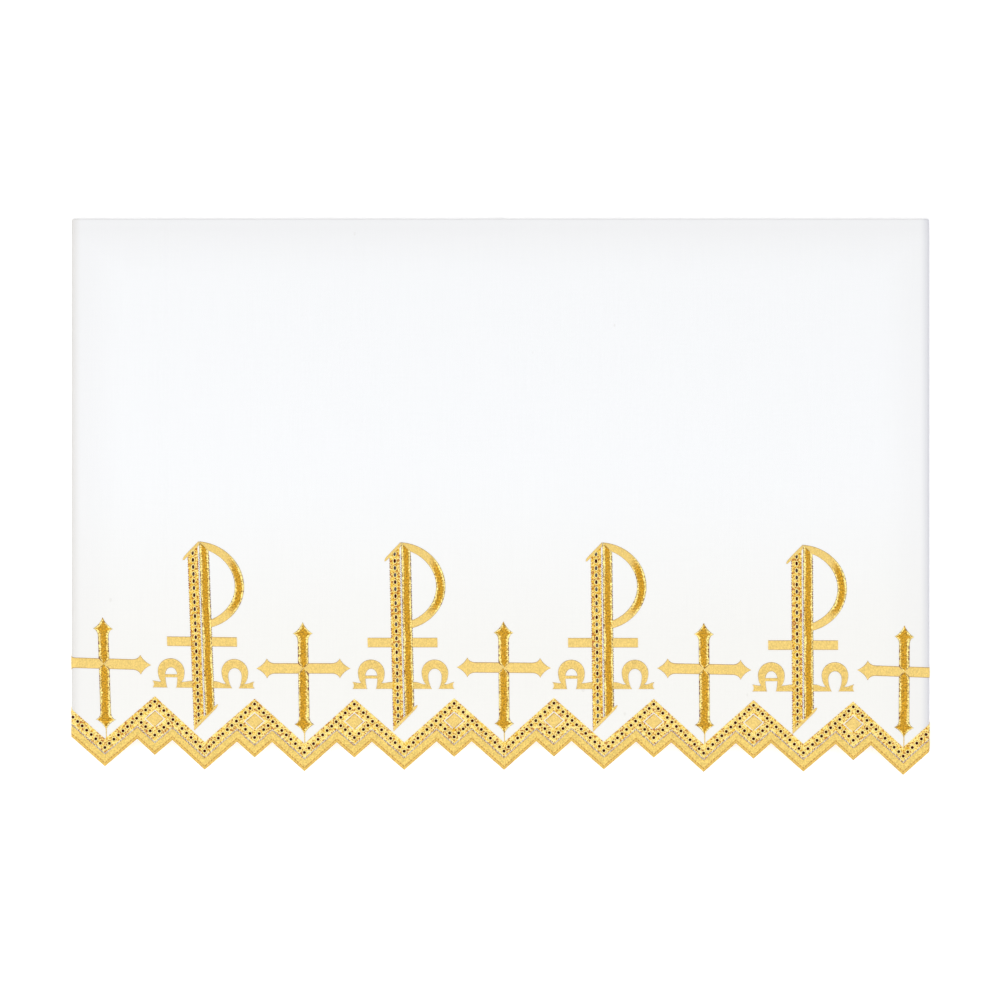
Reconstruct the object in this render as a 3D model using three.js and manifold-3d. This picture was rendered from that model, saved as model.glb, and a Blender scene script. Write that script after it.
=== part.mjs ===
// Altar cloth of white linen with a gold embroidered border, folded and lying face up.
// Units are millimetres. X runs across the face, Y from the hem up to the top fold, Z up out of the face.
// The origin is under the middle of the bounding box, on the surface that the cloth lies on.
//
// The cloth is one sheet. Its back half is folded under along the top edge, and then both ends are folded
// under along the sides, so four layers lie on each other, a little apart. The flat cloth has its own
// coordinates: u along its length, v across its width from the points of the hem, n through its thickness.
// The function fold() takes them to the place where the folded cloth has them.
//
// The gold work lies on the face: the edge strip, the eyelet strip above it, crosses and monograms.
import * as THREE from "three";
import { mergeVertices } from "three/addons/utils/BufferGeometryUtils.js";
import Module from "manifold-3d";

const wasm = await Module();
wasm.setup();

// Face and layers
const FACE_WIDTH = 1000;
const FACE_DROP = 642.5; // from the mean level of the large points to the top fold
const CLOTH = 1.2; // thickness of one layer
const PAIR_HALF = 1.5; // half the spacing of the two layers that the top fold joins
const SIDE_RADIUS = 2.6; // side fold, to the middle of that pair
const BACK_HEM = 42; // level of the straight hem on the hidden layers
const CENTRE_GAP = 12; // between the two folded ends, under the middle of the face
const SIDE_STEPS = 8;
const TOP_STEPS = 6;
const PRESS_WIDTH = 24; // along the top fold the layers are pressed a little closer
const PRESS_SHARE = 0.13;
const CURVE_STEPS = 10;

// Hem: a large point at each motif, a small point between two motifs
const PITCH = 116.15;
const FIRST_POINT = -460.5; // u of the first large point
const POINTS = 9;
const LARGE_HALF = 37.6; // half the width of a large point
const SLOPE = 0.885; // rise over run of every slanting edge in the border
const HEM_RAMP = 30; // past the last notches the hem runs up to the straight back hem
const NOTCH = LARGE_HALF * SLOPE;

// Border strips, as heights above the hem line
const EDGE_TOP = 13.6;
const EYELET_BOTTOM = 15.5;
const VALLEY = 32; // inner corner of the eyelet strip above a large point
const PLATE = 0.9; // thickness of the gold work
const SEAT = 0.3; // between the gold work and the cloth
const STRIP_END = 494; // the strips stop where the side folds begin

// Diamond between two motifs: a slot round a square, open at the bottom corner
const DIAMOND = { level: 57.2, outer: 12.4, inner: 10.5, bridge: 1.4 };

// How each motif hangs in the uneven cloth: how far it stands to the right of its point, dip of the hem at
// that point, lean of its uprights, tilt of its bar, and how much lower than the pattern it sits
const HANG = [
  { motif: "cross", shift: 1.5, dip: -4.9, lean: 0.033, tilt: -0.03, sink: 0.4 },
  { motif: "monogram", shift: 0.7, dip: -0.9, lean: 0.037, tilt: -0.012, sink: 0 },
  { motif: "cross", shift: 0.1, dip: 0.9, lean: 0.018, tilt: 0, sink: 0.2 },
  { motif: "monogram", shift: 0.3, dip: -0.6, lean: 0.022, tilt: 0, sink: 0.8 },
  { motif: "cross", shift: 0.4, dip: -0.7, lean: 0.009, tilt: -0.008, sink: 0.9 },
  { motif: "monogram", shift: 0.3, dip: -1.3, lean: 0.012, tilt: 0, sink: 1.7 },
  { motif: "cross", shift: 1.3, dip: 1.7, lean: 0.008, tilt: -0.02, sink: 0.2 },
  { motif: "monogram", shift: 0.3, dip: 1.3, lean: 0.006, tilt: 0, sink: 1.9 },
  { motif: "cross", shift: 0.9, dip: 5.2, lean: -0.005, tilt: -0.035, sink: -0.3 },
];
const LEAN_FROM = 45; // height at which a motif's lean starts
const JOIN = 1; // how far the pieces of a motif's outline run into each other

// Cross, as heights above the large point under it
const CROSS = {
  bottom: 43.4,
  lowHead: 54.8,
  lowNeck: 62,
  bar: 119.9,
  highNeck: 152.8,
  highHead: 160.5,
  top: 173.7,
  half: 6.1, // half the width of the upright
  head: 11.4, // half the width over a head's side tips
  barHalf: 6,
  barHead: 11.4,
  armNeck: 34,
  armHead: 42.4,
  armTip: 54.7,
};

// Monogram: two bands side by side with a slot between, an arm of a bar on each side, a loop between two
// ovals, and slanting caps
const MONOGRAM = {
  left: -12.8,
  slotLeft: -1.2,
  slotRight: 0.8,
  right: 11.6,
  foot: { x: -12.7, y: 45.6 },
  heel: { x: 15.8, y: 73.2 },
  spike: { x: -18.9, y: 246.9 },
  apex: { x: 0.4, y: 266.1 },
  cap: 5, // height of the slanting caps
  barReach: 40.6,
  barLevel: 149.1,
  barHalf: 5.5,
  loopLevel: 215,
  loopOut: { centre: -3, x: 54.3, y: 50.9 },
  loopIn: { centre: -9, x: 49.6, y: 44 },
};

const OUTER_RADIUS = SIDE_RADIUS + PAIR_HALF;
const SIDE_CENTRE = OUTER_RADIUS + CLOTH / 2; // height of the side folds' centre line
const FACE_TOP = 2 * SIDE_CENTRE;
const U_TURN = FACE_WIDTH / 2 - SIDE_CENTRE;
const SIDE_ARC = Math.PI * OUTER_RADIUS;
const V_TURN = FACE_DROP - PAIR_HALF - CLOTH / 2;
const TOP_ARC = Math.PI * PAIR_HALF;
const LOWEST = -Math.max(...HANG.map((h) => h.dip));
const MIDDLE = (LOWEST + FACE_DROP) / 2; // v that lies at Y = 0

const WHITE = { color: 0xf4f4f2, roughness: 0.85, metalness: 0 };
const GOLD = { color: 0xe6bc55, roughness: 0.45, metalness: 0.3 };
const DEEP_GOLD = { color: 0xd2a03a, roughness: 0.45, metalness: 0.3 };

const smooth = (t) => t * t * (3 - 2 * t);
const clamp = (t) => Math.min(1, Math.max(0, t));

// Dip of the hem at u, straight between the points and level past the ends
function dipAt(u) {
  const place = Math.min(POINTS - 1, Math.max(0, (u - FIRST_POINT) / PITCH));
  const before = Math.min(POINTS - 2, Math.floor(place));
  return THREE.MathUtils.lerp(HANG[before].dip, HANG[before + 1].dip, place - before);
}

// Height of the saw-toothed hem at u, with no dip
function teeth(u) {
  const from = Math.abs(THREE.MathUtils.euclideanModulo(u - FIRST_POINT + PITCH / 2, PITCH) - PITCH / 2);
  return from < LARGE_HALF ? from * SLOPE : NOTCH - (from - LARGE_HALF) * SLOPE;
}

// Height of the eyelet strip's upper edge at u, with no dip
function peaks(u) {
  const from = Math.abs(THREE.MathUtils.euclideanModulo(u - FIRST_POINT + PITCH / 2, PITCH) - PITCH / 2);
  return VALLEY + from * SLOPE;
}

const FIRST_NOTCH = FIRST_POINT - LARGE_HALF;
const LAST_NOTCH = FIRST_POINT + (POINTS - 1) * PITCH + LARGE_HALF;

// Level of the cloth's lower edge at u
function hem(u) {
  const past = Math.max(FIRST_NOTCH - u, u - LAST_NOTCH);
  if (past <= 0) return teeth(u) - dipAt(u);
  const notch = NOTCH - dipAt(u);
  return THREE.MathUtils.lerp(notch, BACK_HEM, clamp(past / HEM_RAMP));
}

// From the flat cloth to the folded one
function fold(u, v, n) {
  const off = PAIR_HALF + n;
  let y = v;
  let across = off;
  if (v > V_TURN + TOP_ARC) {
    y = V_TURN - (v - V_TURN - TOP_ARC);
    across = -off;
  } else if (v > V_TURN) {
    const turn = (v - V_TURN) / PAIR_HALF;
    y = V_TURN + off * Math.sin(turn);
    across = off * Math.cos(turn);
  }
  const radius = SIDE_RADIUS + across;
  const along = Math.abs(u);
  let x = along;
  let z = SIDE_CENTRE + radius;
  if (along > U_TURN + SIDE_ARC) {
    x = U_TURN - (along - U_TURN - SIDE_ARC);
    z = SIDE_CENTRE - radius;
  } else if (along > U_TURN) {
    const turn = (along - U_TURN) / OUTER_RADIUS;
    x = U_TURN + radius * Math.sin(turn);
    z = SIDE_CENTRE + radius * Math.cos(turn);
  }
  const press = PRESS_SHARE * smooth(clamp((y - FACE_DROP + PRESS_WIDTH) / PRESS_WIDTH));
  return new THREE.Vector3(Math.sign(u) * x, y - MIDDLE, z * (1 - press));
}

// Every u where the cloth's edge or form changes, from one end to the other
function columns() {
  const lines = [];
  for (let k = 0; k < POINTS; k++) {
    const point = FIRST_POINT + k * PITCH;
    lines.push(point - LARGE_HALF, point, point + LARGE_HALF);
    if (k < POINTS - 1) lines.push(point + PITCH / 2);
  }
  for (const side of [-1, 1]) {
    for (let i = 0; i <= SIDE_STEPS; i++) lines.push(side * (U_TURN + (SIDE_ARC * i) / SIDE_STEPS));
    lines.push(side * (U_TURN + SIDE_ARC + U_TURN - CENTRE_GAP / 2));
  }
  lines.push(FIRST_NOTCH - HEM_RAMP, LAST_NOTCH + HEM_RAMP);
  return lines.sort((a, b) => a - b);
}

// Every v above the hem where the form changes, from the hem to the far edge of the back half
function rows() {
  const lines = [BACK_HEM + 8, V_TURN / 2];
  for (const share of [1, 0.66, 0.33]) lines.push(FACE_DROP - share * PRESS_WIDTH);
  for (let i = 0; i <= TOP_STEPS; i++) lines.push(V_TURN + (TOP_ARC * i) / TOP_STEPS);
  for (const share of [0.33, 0.66, 1]) {
    lines.push(V_TURN + TOP_ARC + V_TURN - FACE_DROP + share * PRESS_WIDTH);
  }
  lines.push(V_TURN + TOP_ARC + V_TURN / 2, V_TURN + TOP_ARC + V_TURN - BACK_HEM);
  return lines;
}

// The cloth: a box with a column for each u and a row for each v, moved to its cut and folded
function clothGeometry() {
  const us = columns();
  const vs = rows();
  const wide = us.length - 1;
  const high = vs.length;
  const box = new THREE.BoxGeometry(wide, high, 1, wide, high, 1);
  const place = box.getAttribute("position");
  for (let i = 0; i < place.count; i++) {
    const u = us[Math.round(place.getX(i) + wide / 2)];
    const row = Math.round(place.getY(i) + high / 2);
    const v = row === 0 ? hem(u) : vs[row - 1];
    place.setXYZ(i, ...fold(u, v, place.getZ(i) * CLOTH));
  }
  return box;
}

// A flat outline as a plate of gold work lying on the face
function plate(shape) {
  const form = { depth: PLATE, bevelEnabled: false, curveSegments: CURVE_STEPS };
  return new THREE.ExtrudeGeometry(shape, form).translate(0, -MIDDLE, FACE_TOP + SEAT);
}

const outline = (points) => new THREE.Shape(points.map(([x, y]) => new THREE.Vector2(x, y)));

// Points along the border from end to end, at the given height over a line of the pattern
function borderLine(height) {
  const us = columns().filter((u) => Math.abs(u) < STRIP_END);
  return [-STRIP_END, ...us, STRIP_END].map((u) => [u, height(u) - dipAt(u)]);
}

function edgeStrip() {
  const low = borderLine((u) => teeth(u));
  const high = borderLine((u) => teeth(u) + EDGE_TOP);
  return plate(outline([...low, ...high.reverse()]));
}

// The slot round a diamond's square, left open where the square's bottom corner joins the strip
function diamondSlot(u) {
  const { level, outer, inner, bridge } = DIAMOND;
  const y = level - dipAt(u);
  const low = (half) => y - (half - bridge) * SLOPE;
  return new THREE.Path(
    [
      [u + bridge, low(outer)],
      [u + outer, y],
      [u, y + outer * SLOPE],
      [u - outer, y],
      [u - bridge, low(outer)],
      [u - bridge, low(inner)],
      [u - inner, y],
      [u, y + inner * SLOPE],
      [u + inner, y],
      [u + bridge, low(inner)],
    ].map(([x, h]) => new THREE.Vector2(x, h)),
  );
}

function eyeletStrip() {
  const low = borderLine((u) => teeth(u) + EYELET_BOTTOM);
  const high = borderLine((u) => peaks(u));
  const shape = outline([...low, ...high.reverse()]);
  for (let k = 0; k < POINTS - 1; k++) shape.holes.push(diamondSlot(FIRST_POINT + (k + 0.5) * PITCH));
  return plate(shape);
}

// The cross, drawn arm by arm: out along one edge, round the head, back along the other.
// Arm 0 points down, and each next arm is a quarter turn on.
function crossShape() {
  const c = CROSS;
  const upright = { half: c.half, wide: c.head, start: c.barHalf };
  const ends = { neck: c.armNeck, head: c.armHead, tip: c.armTip };
  const level = { half: c.barHalf, wide: c.barHead, start: c.half, ...ends };
  const arms = [
    { ...upright, neck: c.bar - c.lowNeck, head: c.bar - c.lowHead, tip: c.bar - c.bottom },
    level,
    { ...upright, neck: c.highNeck - c.bar, head: c.highHead - c.bar, tip: c.top - c.bar },
    level,
  ];
  const shape = new THREE.Shape();
  arms.forEach((arm, turns) => {
    const angle = (turns * Math.PI) / 2;
    const at = (along, out) => [
      along * Math.sin(angle) + out * Math.cos(angle),
      c.bar - along * Math.cos(angle) + out * Math.sin(angle),
    ];
    const shoulder = THREE.MathUtils.lerp(arm.head, arm.neck, 0.25);
    const hollow = THREE.MathUtils.lerp(arm.head, arm.tip, 0.3);
    if (turns === 0) shape.moveTo(...at(arm.start, -arm.half));
    else shape.lineTo(...at(arm.start, -arm.half));
    shape.lineTo(...at(arm.neck, -arm.half));
    shape.quadraticCurveTo(...at(shoulder, -1.1 * arm.half), ...at(arm.head, -arm.wide));
    shape.quadraticCurveTo(...at(hollow, -0.35 * arm.wide), ...at(arm.tip, 0));
    shape.quadraticCurveTo(...at(hollow, 0.35 * arm.wide), ...at(arm.head, arm.wide));
    shape.quadraticCurveTo(...at(shoulder, 1.1 * arm.half), ...at(arm.neck, arm.half));
  });
  return shape;
}

// The loop: an outer arc from the cap at the apex round to the right-hand band, and an inner arc back
function loopShape() {
  const m = MONOGRAM;
  const level = m.loopLevel;
  const [out, back] = [m.loopOut, m.loopIn];
  const meets = (oval, x) => Math.acos((x - oval.centre) / oval.x);
  const shape = new THREE.Shape();
  shape.moveTo(m.slotRight, level + back.y);
  shape.lineTo(m.slotRight, m.apex.y - JOIN);
  shape.absellipse(out.centre, level, out.x, out.y, meets(out, m.slotRight), -meets(out, m.right), true);
  shape.lineTo(m.right - JOIN, level - out.y + JOIN);
  shape.lineTo(m.right - JOIN, level - back.y + JOIN);
  shape.absellipse(back.centre, level, back.x, back.y, -meets(back, m.right), meets(back, m.right), false);
  return shape;
}

// The pieces of a monogram: the two bands, the caps at top and foot, the bar's two arms and the loop
function monogramShapes() {
  const m = MONOGRAM;
  const topLine = (x) => THREE.MathUtils.mapLinear(x, m.spike.x, m.apex.x, m.spike.y, m.apex.y);
  const footLine = (x) => THREE.MathUtils.mapLinear(x, m.foot.x, m.heel.x, m.foot.y, m.heel.y);
  const band = (x0, x1, top) => [
    [x0, footLine(x0) + JOIN],
    [x1, footLine(x1) + JOIN],
    [x1, top(x1)],
    [x0, top(x0)],
  ];
  const bar = (x0, x1) => [
    [x0, m.barLevel - m.barHalf],
    [x1, m.barLevel - m.barHalf],
    [x1, m.barLevel + m.barHalf],
    [x0, m.barLevel + m.barHalf],
  ];
  return [
    outline(band(m.left, m.slotLeft, (x) => topLine(x) - JOIN)),
    outline(band(m.slotRight, m.right, () => m.loopLevel + m.loopIn.y)),
    outline([
      [m.spike.x, m.spike.y],
      [m.spike.x + m.cap / 2, m.spike.y - m.cap / 2],
      [m.slotRight + JOIN, m.apex.y - m.cap],
      [m.slotRight + JOIN, m.apex.y - JOIN],
      [m.apex.x, m.apex.y],
    ]),
    outline([
      [m.foot.x, m.foot.y],
      [m.heel.x, m.heel.y],
      [m.heel.x - m.cap / 2, m.heel.y + m.cap / 2],
      [m.foot.x, m.foot.y + m.cap],
    ]),
    outline(bar(-m.barReach, m.left + JOIN)),
    outline(bar(m.right - JOIN, m.barReach)),
    loopShape(),
  ];
}

// A closed three.js geometry as a solid, and back
function toSolid(geometry) {
  const bare = geometry.clone();
  bare.deleteAttribute("normal");
  bare.deleteAttribute("uv");
  const merged = mergeVertices(bare, 1e-4);
  return new wasm.Manifold(
    new wasm.Mesh({
      numProp: 3,
      vertProperties: merged.getAttribute("position").array,
      triVerts: new Uint32Array(merged.index.array),
    }),
  );
}

function toGeometry(solid) {
  const mesh = solid.getMesh();
  return new THREE.BufferGeometry()
    .setAttribute("position", new THREE.BufferAttribute(mesh.vertProperties, 3))
    .setIndex(new THREE.BufferAttribute(mesh.triVerts, 1));
}

// Several overlapping outlines as one plate
function joinedPlate(shapes) {
  return toGeometry(shapes.map((shape) => toSolid(plate(shape))).reduce((all, one) => all.add(one)));
}

// Moves a motif to where it hangs, and trims it at the side folds
function hang(geometry, k) {
  const { shift, dip, lean, tilt, sink } = HANG[k];
  const point = FIRST_POINT + k * PITCH;
  const shear = new THREE.Matrix4().makeShear(tilt, 0, -lean, 0, 0, 0);
  const rise = LEAN_FROM - MIDDLE;
  const placed = geometry
    .clone()
    .translate(0, -rise, 0)
    .applyMatrix4(shear)
    .translate(point + shift, rise - dip - sink, 0);
  const face = new THREE.BoxGeometry(2 * STRIP_END, 2 * FACE_DROP, 4 * FACE_TOP);
  return toGeometry(toSolid(placed).intersect(toSolid(face)));
}

function named(name, geometry, look) {
  geometry.deleteAttribute("normal");
  const flat = geometry.index ? geometry.toNonIndexed() : geometry;
  flat.computeVertexNormals();
  const mesh = new THREE.Mesh(flat, new THREE.MeshStandardMaterial({ ...look, flatShading: true }));
  mesh.name = name;
  return mesh;
}

const altarCloth = new THREE.Group();
altarCloth.add(named("cloth", clothGeometry(), WHITE));
altarCloth.add(named("edge_strip", edgeStrip(), GOLD));
altarCloth.add(named("eyelet_strip", eyeletStrip(), DEEP_GOLD));

const crossPlate = plate(crossShape());
const monogramPlate = joinedPlate(monogramShapes());
HANG.forEach(({ motif }, k) => {
  const source = motif === "cross" ? crossPlate : monogramPlate;
  const number = Math.floor(k / 2) + 1;
  altarCloth.add(named(`${motif}_${number}`, hang(source, k), GOLD));
});

export default altarCloth;
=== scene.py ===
import math
from collections import namedtuple

import bmesh
import bpy
from mathutils import Matrix, Vector


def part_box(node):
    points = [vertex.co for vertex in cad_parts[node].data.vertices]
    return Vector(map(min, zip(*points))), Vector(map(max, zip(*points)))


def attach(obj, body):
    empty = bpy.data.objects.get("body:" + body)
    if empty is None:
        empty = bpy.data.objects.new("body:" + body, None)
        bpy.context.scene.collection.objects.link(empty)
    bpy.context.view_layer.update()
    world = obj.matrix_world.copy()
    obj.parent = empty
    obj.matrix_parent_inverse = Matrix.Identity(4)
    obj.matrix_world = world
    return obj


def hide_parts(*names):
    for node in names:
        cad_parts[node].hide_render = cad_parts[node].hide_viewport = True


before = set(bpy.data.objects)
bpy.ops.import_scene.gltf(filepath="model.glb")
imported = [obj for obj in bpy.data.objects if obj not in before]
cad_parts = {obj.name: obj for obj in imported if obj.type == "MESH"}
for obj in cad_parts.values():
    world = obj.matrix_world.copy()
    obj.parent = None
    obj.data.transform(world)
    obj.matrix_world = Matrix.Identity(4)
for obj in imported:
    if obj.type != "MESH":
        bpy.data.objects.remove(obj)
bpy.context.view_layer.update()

bl_info = {
    "name": "Altar cloth",
    "version": (1, 0, 0),
    "blender": (4, 5, 0),
    "location": "View3D > Sidebar > Altar cloth",
    "description": "White linen altar cloth, folded face up, with a border of gold embroidery",
    "category": "Add Mesh",
}

MM = 0.001

# The folded cloth, in millimetres. The flat cloth has its own coordinates: u along its length, v across its
# width from the points of the hem, and n through its thickness. fold() takes them to the folded cloth.
LOW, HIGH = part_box("cloth")
FACE_WIDTH = (HIGH.x - LOW.x) / MM
LAYER = 1.2  # what the solid has for one layer
PAIR_HALF = 1.5  # half the spacing of the two layers that the top fold joins
OUTER_RADIUS = HIGH.z / MM / 2 - LAYER / 2
SIDE_RADIUS = OUTER_RADIUS - PAIR_HALF
SIDE_CENTRE = HIGH.z / MM / 2
BACK_HEM = 42.0  # level of the straight hem on the hidden layers
CENTRE_GAP = 12.0  # between the two folded ends
PRESS_WIDTH = 24.0  # along the top fold the layers are pressed a little closer
PRESS_SHARE = 0.13
SIDE_STEPS = 14
TOP_STEPS = 8

# Hem and border: a large point at each motif, a small point between two motifs
PITCH = 116.15
FIRST_POINT = -460.5
POINTS = 9
LARGE_HALF = 37.6
SLOPE = 0.885
NOTCH = LARGE_HALF * SLOPE
HEM_RAMP = 30.0
EDGE_TOP = 13.6
EYELET_BOTTOM = 15.5
VALLEY = 32.0
HOLE_VALLEY = 21.9  # height of the eyelet over a large point
HOLE_APEX = 77.4  # height of the eyelet between two motifs
HOLE_STEPS = 11
BRANCH = 7  # eyelet at which the lower row parts from the upper one
BRANCH_HOLES = 4
BRANCH_FALL = 0.93  # how steeply the lower row falls, against the upper one
DIAMOND = {"level": 57.2, "outer": 12.4, "inner": 10.5, "bridge": 1.4}

# How each motif hangs in the uneven cloth: how far it stands to the right of its point, dip of the hem
# there, lean of its uprights, tilt of its bar, and how much lower than the pattern it sits. The detail of a
# cross is where the painted shade in the middle of its lower and upper arm lies. That of a monogram is how
# many of its eyelets have grey painted shade.
Hang = namedtuple("Hang", "shift dip lean tilt sink detail")
HANG = (
    Hang(1.5, -4.9, 0.033, -0.03, 0.4, (0.0, 0.12)),
    Hang(0.7, -0.9, 0.037, -0.012, 0.0, 0.3),
    Hang(0.1, 0.9, 0.018, 0.0, 0.2, (-0.2, 0.1)),
    Hang(0.3, -0.6, 0.022, 0.0, 0.8, 0.8),
    Hang(0.4, -0.7, 0.009, -0.008, 0.9, (-0.1, 0.06)),
    Hang(0.3, -1.3, 0.012, 0.0, 1.7, 1.0),
    Hang(1.3, 1.7, 0.008, -0.02, 0.2, (0.12, -0.16)),
    Hang(0.3, 1.3, 0.006, 0.0, 1.9, 0.4),
    Hang(0.9, 5.2, -0.005, -0.035, -0.3, (0.0, -0.14)),
)
CROSSES = range(0, POINTS, 2)
MONOGRAMS = range(1, POINTS, 2)
LEAN_FROM = 45.0  # level at which a leaning motif stands over its point

# Cross, as heights above the large point under it, and half widths
CROSS = {
    "bottom": 43.4, "low_head": 54.8, "low_neck": 62.0, "bar": 119.9,
    "high_neck": 152.8, "high_head": 160.5, "top": 173.7,
    "half": 6.1, "head": 11.4, "bar_half": 6.0, "bar_head": 11.4,
    "arm_neck": 34.0, "arm_head": 42.4, "arm_tip": 54.7,
}

# Monogram: a band of eyelets and a padded band with a slot between, a bar, a loop and slanting caps
STEM_LEFT = -12.8
SLOT_LEFT = -1.2
SLOT_RIGHT = 0.8
STEM_RIGHT = 11.6
FOOT = (-12.7, 45.6)
HEEL = (15.8, 73.2)
SPIKE = (-18.9, 246.9)
APEX = (0.4, 266.1)
CAP = 5.0  # height of the slanting caps
BAR_REACH = 40.6
BAR_LEVEL = 149.1
BAR_HALF = 5.5
LOOP_LEVEL = 215.0
LOOP_TURN = (1.25, -1.25)  # angles between which the loop runs
LOOP_DEEP = -0.08  # angle at which its painted shade is deepest
LOOP_OUT = {"centre": -3.0, "x": 54.3, "y": 50.9}
LOOP_IN = {"centre": -9.0, "x": 49.6, "y": 44.0}
BAND_LENGTH = 205.0
LOOP_LENGTH = 132.0
CAP_LENGTH = math.dist(SPIKE, APEX)
STEM_HOLES = 25
STEM_HOLE_LOW = 56.0
STEM_HOLE_PITCH = 8.18
STEM_HOLE_TALL = 1.65  # height over width of an eyelet there

# Alpha and omega beside a monogram: a horseshoe on two feet, as distances from its middle and its baseline.
# The outer edge meets a foot at the pinch, and the inner edge reaches the baseline at the gap.
LETTER_LEVEL = 95.2
LETTER_TONE = 0.12  # how much painted shade the middle of its strokes has
SHOE = {"centre": 18.5, "out": 15.5, "rise": 14.4, "crown": 9.1}
SHOE_LENGTH = 62.0  # along its middle
SHOE_FLARE = 1.75  # angle from the crown past which the outer edge widens to the feet
LETTERS = (
    {"name": "alpha", "middle": -37.2, "half": 7.0, "gap": 5.4, "pinch": (12.2, 7.2), "bar": (12.0, 15.5)},
    {"name": "omega", "middle": 36.9, "half": 7.8, "gap": 4.2, "pinch": (10.9, 5.6), "bar": None},
)
FOOT_TIP = {"reach": 22.2, "spur": 8.4, "neck": 17.0, "notch": 1.8}

# Length, width and height of a dark fleck beside an edge, a needle mark darkened with painted shade
FLECK = (1.1, 0.5, 0.3)

# Distances between flecks along the gap between the strips, where it falls and where it rises to the right,
# and along a monogram's bands. The sway is how unevenly they stand, and the inset how far inside the gap.
FALLING_PITCH = 1.2
RISING_PITCH = 1.9
FLECK_SWAY = 0.5
FLECK_INSET = 0.35
STEM_PITCH = 2.7
STEM_SWAY = 0.8

# Tints of the linen: levels between which it turns warmer, how far the painted shade of the folds reaches in
# from the folds, and the distance of the seams from the straight edges
WARM_FROM = 380.0
WARM_TO = 100.0
TOP_SHADE_REACH = 75.0
WIDE_SHADE_FROM = 60.0
WIDE_SHADE_TO = 5.0
SIDE_SHADE_REACH = 8.0
SEAM_INSET = 22.0

# Distances to which the strips run, half a pitch past the first and the last point
STRIP_FROM = FIRST_POINT - PITCH / 2
STRIP_TO = FIRST_POINT + (POINTS - 0.5) * PITCH

U_TURN = FACE_WIDTH / 2 - SIDE_CENTRE
SIDE_ARC = math.pi * OUTER_RADIUS
U_END = 2 * U_TURN + SIDE_ARC - CENTRE_GAP / 2
LOWEST = -max(h.dip for h in HANG)
FACE_DROP = (HIGH.y - LOW.y) / MM + LOWEST
MIDDLE = (LOWEST + FACE_DROP) / 2
V_TURN = FACE_DROP - PAIR_HALF - LAYER / 2
TOP_ARC = math.pi * PAIR_HALF
V_END = 2 * V_TURN + TOP_ARC - BACK_HEM
FIRST_NOTCH = FIRST_POINT - LARGE_HALF
LAST_NOTCH = FIRST_POINT + (POINTS - 1) * PITCH + LARGE_HALF

# Levels at which the linen has a line of points between its hems and its folds
FACE_LEVELS = (100.0, 180.0, 275.0, 390.0, 500.0)

# Heights over the linen: its own base, the edge of a stroke, and the crest of a flat and of a padded one
BASE, EDGE, CREST, PADDED = -0.1, 0.3, 0.75, 1.25

# How much wider than an eyelet's opening the linen and the ground are cut
LINEN_CUT = 0.25
GROUND_CUT = 0.2
CUTTER_DEPTH = 3.0
HOLE_SIDES = 12
GROUND_CREST = 0.15  # of the ground, over the edge of a stroke

# Ring of thread round an eyelet: heights over the linen at its opening, its middle and its outer side
RING_HEIGHTS = (0.75, 1.0, 0.4)
RING_STEPS = 14
RING_CROWDING = 1.5  # how much closer its stitches lie at the opening

# Painted shade of an eyelet, a dark disc under its opening: how deep under the middle of the linen it lies,
# and its excess radius
SHADE_DEPTH = 0.2
SHADE_OVER = 0.1
SHADE_SPREAD = 0.618  # step by which the chance of a grey one goes from eyelet to eyelet

# A stroke of stitches: how much faster than its width it gains height from a pointed end, power of the fall
# from its crest to its edges, and distance at which its points are joined
RISE = 1.6
ROUNDING = 2.6
WELD = 0.004

# Across a stroke, from one edge to the other
ACROSS = (-1, -0.94, -0.8, -0.5, 0, 0.5, 0.8, 0.94, 1)
FLAT_ON_BACK = 0.08  # share of the relief that is left where the cloth lies on it


def lerp(a, b, t):
    return a + (b - a) * t


def part_way(first, second, share):
    """The point at a share of the way from one point to another."""
    return tuple(lerp(a, b, share) for a, b in zip(first, second))


def smooth(t):
    t = min(1.0, max(0.0, t))
    return t * t * (3 - 2 * t)


# The flat pattern


def dip_at(u):
    """Dip of the hem at u, straight between the points and level past the ends."""
    place = min(POINTS - 1.0, max(0.0, (u - FIRST_POINT) / PITCH))
    before = min(POINTS - 2, int(place))
    return lerp(HANG[before].dip, HANG[before + 1].dip, place - before)


def from_point(u):
    """Distance from u to the nearest large point."""
    return abs((u - FIRST_POINT + PITCH / 2) % PITCH - PITCH / 2)


def hem(u):
    """Level of the cloth's lower edge."""
    past = max(FIRST_NOTCH - u, u - LAST_NOTCH)
    if past > 0:
        return lerp(NOTCH - dip_at(u), BACK_HEM, min(1.0, past / HEM_RAMP))
    return NOTCH - abs(from_point(u) - LARGE_HALF) * SLOPE - dip_at(u)


def peaks(u):
    """Level of the eyelet strip's upper edge."""
    return VALLEY + from_point(u) * SLOPE - dip_at(u)


def fold(u, v, n):
    """Place of a point of the flat cloth in the folded one, in metres."""
    off = PAIR_HALF + n
    y, across = v, off
    if v > V_TURN + TOP_ARC:
        y, across = 2 * V_TURN + TOP_ARC - v, -off
    elif v > V_TURN:
        turn = (v - V_TURN) / PAIR_HALF
        y, across = V_TURN + off * math.sin(turn), off * math.cos(turn)
    radius = SIDE_RADIUS + across
    along = abs(u)
    x, z = along, SIDE_CENTRE + radius
    if along > U_TURN + SIDE_ARC:
        x, z = 2 * U_TURN + SIDE_ARC - along, SIDE_CENTRE - radius
    elif along > U_TURN:
        turn = (along - U_TURN) / OUTER_RADIUS
        x, z = U_TURN + radius * math.sin(turn), SIDE_CENTRE + radius * math.cos(turn)
    press = PRESS_SHARE * smooth((y - FACE_DROP + PRESS_WIDTH) / PRESS_WIDTH)
    return Vector((math.copysign(x, u), y - MIDDLE, z * (1 - press))) * MM


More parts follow.
